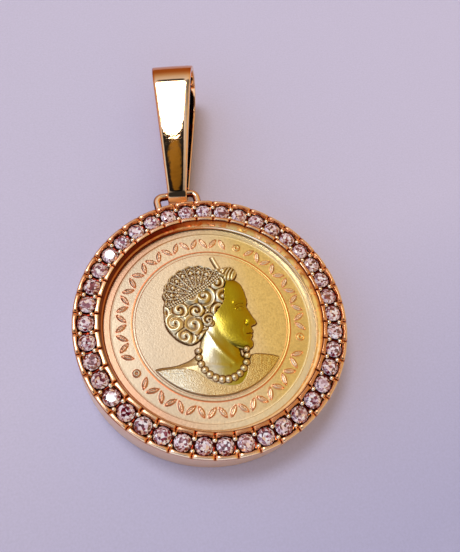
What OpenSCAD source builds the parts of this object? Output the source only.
// Coin pendant: a struck coin in a bezel set with one row of round stones, hung from a tapered bail.
// It lies on its back, face up. The origin is the middle of the floor under it, +Y points to the
// bail and +Z up. All sizes are in millimetres.

/* [Bezel] */
// Outer diameter of the ring round the coin
bezel_d = 17.5; // [17.45:0.01:17.6]
// Height of the ring, from its back to the top of its rims
bezel_h = 3; // [2.95:0.05:3.4]
// Diameter of the opening over the coin, at the top of the inner rim
opening_d = 14.3; // [14.28:0.01:14.32]
// Width of the bright-cut rim on each side of the stones
rim_w = 0.24; // [0.22:0.01:0.24]
// Depth of the channel between the rims
channel_depth = 0.4; // [0.38:0.01:0.5]
// Width of the notch between two cuts of a rim
notch_w = 0.2; // [0.12:0.02:0.24]
// Depth of that notch
notch_depth = 0.13; // [0.08:0.01:0.16]
// Chamfer of the ring's outer edges
edge_chamfer = 0.1; // [0.05:0.01:0.15]
// How far the front lip reaches over the coin's edge
lip_reach = 0.15; // [0.1:0.01:0.25]
// Thickness of the front lip at its tip
lip_t = 0.12; // [0.08:0.01:0.16]

/* [Stones] */
// Number of stones round the ring
stone_count = 40; // [40:1:40]
// Diameter of a stone
stone_d = 1.06; // [1:0.01:1.06]
// Turn of the first stone from the staple, in degrees
stone_turn = -0.95; // [-4:0.05:4]
// Diameter of a bead prong
bead_d = 0.3; // [0.26:0.01:0.3]
// Distance of a bead's middle from the middle of the channel
bead_offset = 0.36; // [0.35:0.01:0.38]

/* [Coin] */
// Diameter of the coin
coin_d = 14.1; // [14:0.05:14.15]
// Thickness of the coin at its border
coin_t = 0.8; // [0.7:0.05:1]
// Depth of the coin's border under the top of the bezel
coin_recess = 0.95; // [0.9:0.05:1]
// Width of the coin's raised border
border_w = 0.5; // [0.4:0.05:0.6]
// Height of the border over the field
border_h = 0.1; // [0.06:0.01:0.14]
// Radius of the circle round the portrait
circle_r = 5; // [4.95:0.01:5.05]
// Turn of the coin in the bezel, in degrees
coin_turn = -8.4; // [-180:0.1:180]
// Height of the leaves and pellets over the field
leaf_h = 0.08; // [0.04:0.01:0.12]
// Height of the portrait over the field
portrait_h = 0.26; // [0.15:0.01:0.4]

/* [Staple] */
// Thickness of the staple's wire
wire_d = 0.54; // [0.5:0.01:0.56]
// Width of the staple over its legs
staple_w = 3.42; // [3.4:0.02:3.6]
// Distance of the bar's axis from the ring's wall
staple_reach = 1.5; // [1.48:0.01:1.6]
// Radius of the staple's corners, at the middle of the wire
staple_bend = 0.45; // [0.4:0.01:0.5]

/* [Bail] */
// Distance from the staple's bar to the middle of the bend at the top
bail_length = 8.1; // [7.5:0.01:8.5]
// Thickness of the bail's strip
strip_t = 0.4; // [0.35:0.01:0.4]
// Outer radius of the bend at the top
bend_r = 2.39; // [2.2:0.01:2.5]
// Outer radius of the eye round the bar
eye_r = 0.95; // [0.95:0.01:0.98]
// Width of the strip at the top
top_w = 3.11; // [2.9:0.01:3.3]
// Width of the strip at the eye
eye_w = 1.35; // [1.3:0.01:1.36]
// Sideways lean of the bail as it lies, in degrees
bail_lean = 11.3; // [6:0.1:11.5]
// Roll of the bail about its own length as it lies, in degrees
bail_roll = 10.1; // [5:0.1:10.5]
// Shift of the bail along the bar
bail_shift = 0.2; // [0:0.01:0.2]

/* [Hidden] */
$fn = 96;
ring_r = bezel_d / 2;
opening_r = opening_d / 2;
coin_r = coin_d / 2;
coin_gap = 0.03;                                // play between the coin and the ring
coin_z = bezel_h - coin_recess - coin_t;        // underside of the coin
coin_top = coin_z + coin_t;
field_z = coin_top - border_h;
back_lip_r = coin_r - 0.3;                      // opening in the back lip
back_lip_t = 0.35;
back_r = coin_r + 0.12;                         // opening behind that lip
rim_slope = 0.03;                               // lean of the channel's walls
channel_z = bezel_h - channel_depth;
band_r = (ring_r + opening_r) / 2;              // circle through the stones' middles

stone_step = 360 / stone_count;
stone_r = stone_d / 2;
pavilion_h = 0.43 * stone_d;
girdle_h = 0.03 * stone_d;
crown_h = 0.145 * stone_d;
table_r = 0.3 * stone_d;
girdle_z = channel_z + 0.07;                    // underside of the girdle
culet_z = girdle_z - pavilion_h;
seat_gap = 0.03;                                // play between a stone and its seat
seat_depth = 0.04;                              // room under the culet
seat_over = 0.02;                               // reach of the seat's cutter over the channel's floor
bead_z = channel_z + 0.1;
lip_outer_r = coin_r + 0.08;                    // foot of the front lip's slope
staple_root = 0.5;                              // depth of the staple's legs in the ring's wall

bar_y = ring_r + staple_reach;
bar_z = bezel_h / 2;
leg_x = (staple_w - wire_d) / 2;

floor_gap = 0.02;                               // air under the bail where it lies
bail_end = bail_length + bend_r;
taper = (top_w - eye_w) / 2 / bail_end;         // growth of the half width along the strip
cos_roll = cos(bail_roll);
sin_roll = -sin(bail_roll);
cos_lean = cos(bail_lean);
sin_lean = sin(bail_lean);

// Lowest point of the bend, measured from the bar, when the bail is pitched up by this angle
function side_low(pitch, side) =
    let (along = sin(pitch) - side * taper * sin_roll * cos(pitch),
         across = cos_roll * cos(pitch))
    bail_length * along - bend_r * norm([along, across]) - side * eye_w / 2 * sin_roll * cos(pitch);
function bend_low(pitch) = min(side_low(pitch, -1), side_low(pitch, 1));

// Pitch at which the bail lies on the floor, found by halving
function lying_pitch(low, high, steps) =
    let (mid = (low + high) / 2)
    steps == 0 ? mid
    : bar_z + bend_low(mid) < floor_gap ? lying_pitch(mid, high, steps - 1)
    : lying_pitch(low, mid, steps - 1);
bail_pitch = lying_pitch(-5, 30, 30);

// Furthest reach of the bend from the bar along Y
function side_reach(side) =
    let (width_y = sin_roll * sin(bail_pitch) * cos_lean - cos_roll * sin_lean,
         along = cos(bail_pitch) * cos_lean + side * taper * width_y,
         across = -sin_roll * sin_lean - cos_roll * sin(bail_pitch) * cos_lean)
    bail_length * along + bend_r * norm([along, across]) + side * eye_w / 2 * width_y;
reach_y = bar_y + max(side_reach(-1), side_reach(1));
middle_y = (reach_y - ring_r) / 2;              // from the ring's centre to the middle of the part

// Ornament round the portrait
leaf_count = 56;
leaf_length = 0.8;
leaf_width = 0.28;
leaf_slant = 35;
leaf_band_r = 5.84;                             // circle through the leaves' middles
pellet_r = 0.2;
pellet_turns = [-23.1, -103.9, 120.6];
pellet_clearance = 6.5;                         // turn on each side of a pellet that has no leaf

// Grid of the portrait, which is measured from the coin's middle with the head's top along Y
portrait_rows = 72;
portrait_steps = 32;
portrait_low = -4.75;
portrait_top = 4.3;
portrait_r = circle_r - 0.16;
portrait_foot = 0.15;                           // depth of the relief's foot inside the coin
portrait_edge = 0.2;                            // part of its height at which the outline leaves the field
edge_slope = 0.03;
edge_sink = 0.04;
outline_ease = 0.1;

// Back of the bust, neck, curls and diadem: height on the coin, distance from its middle
back_outline = [
    [-4.8, -0.1], [-4.6, -1.2], [-4, -2.55], [-3.4, -3.3], [-3, -3.05], [-2.7, -2.4], [-2.4, -1.6],
    [-2, -1.15], [-1.6, -1.1], [-1.3, -1.5], [-0.9, -2.2], [-0.5, -2.6], [0.4, -2.95],
    [1, -2.9], [1.6, -3.1], [2.7, -2.9], [3.5, -2.35], [3.95, -1.75], [4.2, -1], [4.35, -0.3]
];
// Diadem, forehead, nose, mouth, chin, neck and shoulder: height on the coin, distance from its middle
front_outline = [
    [-4.8, 0.1], [-4.6, 1.2], [-4, 2.55], [-3.4, 3.3], [-3.1, 3.6], [-2.8, 3.2], [-2.55, 2.5],
    [-2.35, 1.9], [-2.2, 1.72], [-2.05, 1.9], [-1.92, 2.3], [-1.7, 2.5], [-1.5, 2.46], [-1.3, 2.36],
    [-1.15, 2.48], [-1.03, 2.46], [-0.97, 2.42], [-0.85, 2.54], [-0.65, 2.46], [-0.5, 2.5],
    [-0.35, 2.86], [-0.2, 2.92], [0.1, 2.76], [0.5, 2.52], [0.85, 2.34], [1.1, 2.4], [1.5, 2.44],
    [2, 2.36], [2.4, 2.2], [2.7, 2.05], [3.1, 1.95], [3.4, 1.85], [3.7, 1.3], [4, 0.7], [4.35, 0.1]
];
// Rounded forms of the relief: middle x and y, half length, half width, turn, height in parts of the whole
forms = [
    [-0.7, 1.5, 2.7, 2.2, 25, 0.92],            // hair
    [0.9, 0.4, 2.3, 1.75, 80, 0.86],            // face
    [2.3, -0.1, 0.75, 0.5, 75, 0.62],           // nose
    [1.9, -1.5, 0.75, 0.6, 20, 0.7],            // chin
    [0.3, -1.9, 2, 1.3, 80, 0.66],              // neck
    [0.4, -4.1, 3.6, 1.5, 0, 0.6],              // chest
    [-2.2, -3.3, 1.5, 0.9, 35, 0.5],            // back shoulder
    [2.6, -3.1, 1.6, 0.9, -20, 0.5],            // front shoulder
    [1.55, 3.3, 0.6, 0.45, -20, 0.75],          // tuft over the forehead
    [-1, 3, 2, 1.3, 30, 0.8]                    // diadem
];
// Curls: middle x and y, radius
curls = [
    [0.25, 2.15, 0.42], [0.5, 1.5, 0.4], [-0.25, 1.45, 0.42], [-0.6, 2.05, 0.38], [-1.2, 1.5, 0.42],
    [-0.9, 0.85, 0.42], [-1.75, 0.95, 0.42], [-2.35, 0.5, 0.42], [-1.55, 0.2, 0.45],
    [-2.2, -0.25, 0.42], [-1.4, -0.6, 0.45], [0.15, 0.85, 0.34], [-0.85, -0.2, 0.3]
];
curl_h = 0.22;
// Diadem: middle of its fan, tilt and spires
diadem_x = -0.9;
diadem_y = 2.05;
diadem_tilt = 30;
diadem_inner_r = 0.5;
spire_count = 9;
spire_h = 0.14;
// String of pearls: middle, radius, turn of the first pearl and of the whole string
pearl_count = 13;
pearl_r = 0.21;
pearl_foot = 0.5;
pearl_h = 0.35;
string_x = 0.42;
string_y = -2.2;
string_r = 1.52;
string_turn = 172;
string_span = 190;

function stone_name(i) = str("stone_", i < 10 ? "0" : "", i);
stones = [for (i = [1:stone_count]) stone_name(i)];

gold = [0.86, 0.6, 0.36];
coin_gold = [0.93, 0.77, 0.5];
stone_white = [0.9, 0.87, 0.95];

// Puts a piece that is drawn round the ring's centre in its place over the origin
module placed() {
    translate([0, -middle_y, 0]) children();
}

// Repeats a piece at each stone (half = 0) or between the stones (half = 0.5)
module round_band(half) {
    for (i = [0:stone_count - 1])
        rotate([0, 0, stone_turn - (i + half) * stone_step]) children();
}

// Ring's section, from the back opening over the outer wall, the rims and the two lips
module ring_section() {
    lip_r = coin_r - lip_reach;
    lip_z = coin_top + coin_gap;
    back_lip_z = coin_z - coin_gap;
    polygon([
        [back_r + edge_chamfer, 0],
        [ring_r - edge_chamfer, 0],
        [ring_r, edge_chamfer],
        [ring_r, bezel_h - edge_chamfer],
        [ring_r - edge_chamfer, bezel_h],
        [ring_r - rim_w + rim_slope, bezel_h],
        [ring_r - rim_w, channel_z],
        [opening_r + rim_w, channel_z],
        [opening_r + rim_w - rim_slope, bezel_h],
        [opening_r + edge_chamfer / 2, bezel_h],
        [opening_r, bezel_h - edge_chamfer / 2],
        [lip_outer_r, lip_z + 2 * lip_t],
        [lip_r, lip_z + lip_t],
        [lip_r, lip_z],
        [coin_r + coin_gap, lip_z],
        [coin_r + coin_gap, back_lip_z],
        [back_lip_r, back_lip_z],
        [back_lip_r, back_lip_z - back_lip_t],
        [back_r, back_lip_z - back_lip_t],
        [back_r, edge_chamfer]
    ]);
}

// Cone that a stone's pavilion sits in
module seat() {
    start = culet_z - seat_depth;
    height = channel_z + seat_over - start;
    translate([0, band_r, start])
        cylinder(h = height, r1 = seat_gap, r2 = seat_gap + height * stone_r / pavilion_h);
}

// Cut across both rims between two stones
module notch() {
    half = notch_w / 2;
    over = 0.05;
    translate([0, ring_r + over, bezel_h])
        rotate([90, 0, 0])
            linear_extrude(ring_r - opening_r + 2 * over)
                polygon([[0, -notch_depth], [half, over], [-half, over]]);
}

// The two bead prongs between a stone and the next
module bead_pair() {
    for (side = [-1, 1])
        translate([0, band_r + side * bead_offset, bead_z]) sphere(d = bead_d);
}

// Staple of round wire: two legs, two corners and the bar that the bail hangs on
module staple() {
    corner_y = bar_y - staple_bend;
    inner_x = leg_x - staple_bend;
    root_y = ring_r - staple_root;
    translate([0, 0, bar_z]) {
        translate([-inner_x, bar_y, 0])
            rotate([0, 90, 0]) cylinder(h = 2 * inner_x, d = wire_d);
        for (side = [-1, 1]) {
            translate([side * leg_x, root_y, 0])
                rotate([-90, 0, 0]) cylinder(h = corner_y - root_y, d = wire_d);
            translate([side * inner_x, corner_y, 0])
                rotate([0, 0, side > 0 ? 0 : 90])
                    rotate_extrude(angle = 90) translate([staple_bend, 0]) circle(d = wire_d);
        }
    }
}

module bezel() {
    color(gold) placed() {
        difference() {
            rotate_extrude() ring_section();
            round_band(0) seat();
            round_band(0.5) notch();
        }
        round_band(0.5) bead_pair();
        staple();
    }
}

// Facets of a round brilliant: eight tables' corners, eight tips between the kites, sixteen girdle points
function ring_points(count, r, z, turn) =
    [for (i = [0:count - 1]) [r * cos(i * 360 / count + turn), r * sin(i * 360 / count + turn), z]];

module brilliant() {
    mains = 8;
    half_step = 180 / mains;
    tip_r = (table_r + stone_r) / 2 + 0.01;
    crown_slope = crown_h / (stone_r - table_r);
    tip_z = crown_h - (tip_r * cos(half_step) - table_r) * crown_slope;
    low_tip_r = 0.22 * stone_r;
    low_slope = pavilion_h / stone_r;
    low_tip_z = -girdle_h - pavilion_h + low_tip_r * cos(half_step) * low_slope;
    table = ring_points(mains, table_r, crown_h, 0);
    tips = ring_points(mains, tip_r, tip_z, half_step);
    top_girdle = ring_points(2 * mains, stone_r, 0, 0);
    low_girdle = ring_points(2 * mains, stone_r, -girdle_h, 0);
    low_tips = ring_points(mains, low_tip_r, low_tip_z, half_step);
    // First index of each ring of points
    tip = mains;
    top = 2 * mains;
    low = 4 * mains;
    low_tip = 6 * mains;
    culet = 7 * mains;
    last = mains - 1;
    faces = concat(
        [[for (i = [last:-1:0]) i]],
        [for (i = [0:last]) [i, (i + 1) % mains, tip + i]],
        [for (i = [0:last]) [i, tip + i, top + 2 * i, tip + (i + last) % mains]],
        [for (i = [0:last]) [tip + i, top + 2 * i + 1, top + 2 * i]],
        [for (i = [0:last]) [tip + i, top + (2 * i + 2) % (2 * mains), top + 2 * i + 1]],
        [for (i = [0:2 * mains - 1])
            [top + i, top + (i + 1) % (2 * mains), low + (i + 1) % (2 * mains), low + i]],
        [for (i = [0:last]) [low_tip + i, low + 2 * i, low + 2 * i + 1]],
        [for (i = [0:last]) [low_tip + i, low + 2 * i + 1, low + (2 * i + 2) % (2 * mains)]],
        [for (i = [0:last]) [culet, low_tip + (i + last) % mains, low + 2 * i, low_tip + i]]
    );
    polyhedron(
        points = concat(table, tips, top_girdle, low_girdle, low_tips,
                        [[0, 0, -girdle_h - pavilion_h]]),
        faces = faces
    );
}

module stone(i) {
    color(stone_white) placed()
        rotate([0, 0, stone_turn - (i - 1) * stone_step])
            translate([0, band_r, girdle_z + girdle_h]) brilliant();
}

// Coin's section, with the border and the double circle round the portrait
module coin_section() {
    border_r = coin_r - border_w;
    edge = 0.05;
    line_w = 0.06;
    line_h = 0.04;
    line_r = [circle_r + 0.12, circle_r - 0.02];
    polygon(concat(
        [[0, coin_z], [coin_r - edge, coin_z], [coin_r, coin_z + edge], [coin_r, coin_top - edge],
         [coin_r - edge, coin_top], [border_r, coin_top], [border_r - edge, field_z]],
        [for (r = line_r) each [[r + line_w / 2, field_z], [r, field_z + line_h], [r - line_w / 2, field_z]]],
        [[0, field_z]]
    ));
}

// Leaf with two arcs for edges, along Y
module leaf(length, width) {
    arc_r = (length * length / 4 + width * width / 4) / width;
    intersection() {
        translate([arc_r - width / 2, 0]) circle(arc_r);
        translate([width / 2 - arc_r, 0]) circle(arc_r);
    }
}

function clear_of_pellets(turn) =
    min([for (p = pellet_turns) min((turn - p + 720) % 360, (p - turn + 720) % 360)]) > pellet_clearance;

// Band of ornament: three sprigs of slanted leaves, with a ring pellet between each two
module ornament() {
    step = 360 / leaf_count;
    for (i = [0:leaf_count - 1])
        if (clear_of_pellets(i * step))
            rotate([0, 0, i * step])
                translate([0, leaf_band_r])
                    rotate([0, 0, i % 2 == 0 ? leaf_slant : -leaf_slant]) leaf(leaf_length, leaf_width);
    for (turn = pellet_turns)
        rotate([0, 0, turn]) translate([0, leaf_band_r]) difference() {
            circle(pellet_r);
            circle(pellet_r / 2);
        }
}

// Fans a rounded form of the relief out of its middle: 1 at the middle, 0 at its edge
function dome(x, y, f) =
    let (dx = x - f[0], dy = y - f[1],
         along = (dx * cos(f[4]) + dy * sin(f[4])) / f[2],
         across = (dy * cos(f[4]) - dx * sin(f[4])) / f[3],
         out = along * along + across * across)
    out < 1 ? f[5] * sqrt(1 - out) : 0;
function curl_rise(x, y, c) =
    let (out = norm([x - c[0], y - c[1]]) / c[2])
    out < 1 ? curl_h * sin(out * 180) : 0;

// Middle of a pearl on the string that hangs round the neck
function pearl_at(i) =
    let (turn = string_turn + i * string_span / (pearl_count - 1))
    [string_x + string_r * cos(turn), string_y + string_r * sin(turn)];
function pearl_rise(x, y, i) =
    let (p = pearl_at(i), out = norm([x - p[0], y - p[1]]) / pearl_r)
    out < 1 ? pearl_foot + pearl_h * sqrt(1 - out * out) : 0;

// Spires of the diadem fan out over the back of the head
function diadem_rise(x, y) =
    let (dx = x - diadem_x, dy = y - diadem_y, turn = atan2(dy, dx) - diadem_tilt, out = norm([dx, dy]))
    turn > 0 && turn < 180 && out > diadem_inner_r ? spire_h * abs(cos(turn * spire_count)) : 0;
function relief(x, y) =
    max(max([for (f = forms) dome(x, y, f)]), max([for (i = [0:pearl_count - 1]) pearl_rise(x, y, i)]))
    + max([for (c = curls) curl_rise(x, y, c)]) + diadem_rise(x, y);

// Outline at a height on the coin, eased over three readings and cut off by the circle
function eased(y, outline) =
    (lookup(y - outline_ease, outline) + lookup(y, outline) + lookup(y + outline_ease, outline)) / 3;
function within_circle(x, y) =
    let (reach = sqrt(max(0.0001, pow(portrait_r, 2) - y * y)))
    max(-reach, min(reach, x));
function row_y(j) = portrait_low + (portrait_top - portrait_low) * j / (portrait_rows - 1);
function row_point(j, i) =
    let (y = row_y(j),
         left = within_circle(eased(y, back_outline), y),
         right = within_circle(eased(y, front_outline), y),
         last = portrait_steps - 1,
         inset = min(edge_slope, (right - left) / 8),
         x = i == 0 ? left : i == last ? right
             : left + inset + (right - left - 2 * inset) * (i - 1) / (last - 2),
         outer = i == 0 || i == last || j == 0 || j == portrait_rows - 1)
    [x, y, outer ? -edge_sink : portrait_h * max(portrait_edge, relief(x, y))];

// Bust in relief, as rows of points from the back outline to the front outline
module portrait() {
    rows = portrait_rows;
    steps = portrait_steps;
    tops = [for (j = [0:rows - 1]) for (i = [0:steps - 1]) row_point(j, i)];
    feet = [for (j = [0:rows - 1]) for (i = [0, steps - 1]) [row_point(j, i)[0], row_y(j), -portrait_foot]];
    foot = rows * steps;
    last = steps - 1;
    end = rows - 1;
    surface_faces = [for (j = [0:end - 1]) for (i = [0:last - 1])
        let (a = j * steps + i)
        each [[a, a + steps, a + 1], [a + 1, a + steps, a + steps + 1]]];
    back_faces = [for (j = [0:end - 1])
        [j * steps, foot + 2 * j, foot + 2 * j + 2, (j + 1) * steps]];
    front_faces = [for (j = [0:end - 1])
        [j * steps + last, (j + 1) * steps + last, foot + 2 * j + 3, foot + 2 * j + 1]];
    foot_faces = [for (j = [0:end - 1])
        [foot + 2 * j, foot + 2 * j + 1, foot + 2 * j + 3, foot + 2 * j + 2]];
    low_end = concat([foot], [for (i = [0:last]) i], [foot + 1]);
    top_end = concat([foot + 2 * end + 1], [for (i = [last:-1:0]) end * steps + i], [foot + 2 * end]);
    polyhedron(
        points = concat(tops, feet),
        faces = concat(surface_faces, back_faces, front_faces, foot_faces, [low_end, top_end])
    );
}

module coin() {
    sink = 0.02;
    color(coin_gold) placed() rotate([0, 0, coin_turn]) {
        rotate_extrude() coin_section();
        translate([0, 0, field_z - sink]) linear_extrude(leaf_h + sink) ornament();
        translate([0, 0, field_z]) portrait();
    }
}

// Solid whose side is two round ends joined by straight leaves, along X from the bar
module loop_solid(start_r, end_r) {
    width = 2 * top_w;
    rise = asin((end_r - start_r) / bail_length);
    up = [-sin(rise), cos(rise)];
    down = [-sin(rise), -cos(rise)];
    cylinder(h = width, r = start_r, center = true);
    translate([bail_length, 0]) cylinder(h = width, r = end_r, center = true);
    linear_extrude(width, center = true)
        polygon([
            start_r * up,
            [bail_length, 0] + end_r * up,
            [bail_length, 0] + end_r * down,
            start_r * down
        ]);
}

// Face of the bail's strip, which narrows towards the eye
module strip_face() {
    start = -eye_r - 0.1;
    over = bail_end + 0.1;
    end_half = eye_w / 2 + taper * over;
    polygon([
        [-eye_w / 2, start], [eye_w / 2, start], [eye_w / 2, 0],
        [end_half, over], [-end_half, over], [-eye_w / 2, 0]
    ]);
}

module bail() {
    color(gold) placed()
        translate([bail_shift, bar_y, bar_z])
            rotate([0, 0, -bail_lean]) rotate([bail_pitch, 0, 0]) rotate([0, -bail_roll, 0])
                intersection() {
                    rotate([90, 0, 90])
                        difference() {
                            loop_solid(eye_r, bend_r);
                            loop_solid(eye_r - strip_t, bend_r - strip_t);
                        }
                    translate([0, 0, -2 * bend_r]) linear_extrude(4 * bend_r) strip_face();
                }
}

bezel();
coin();
bail();
for (i = [1:stone_count])
    stone(i);
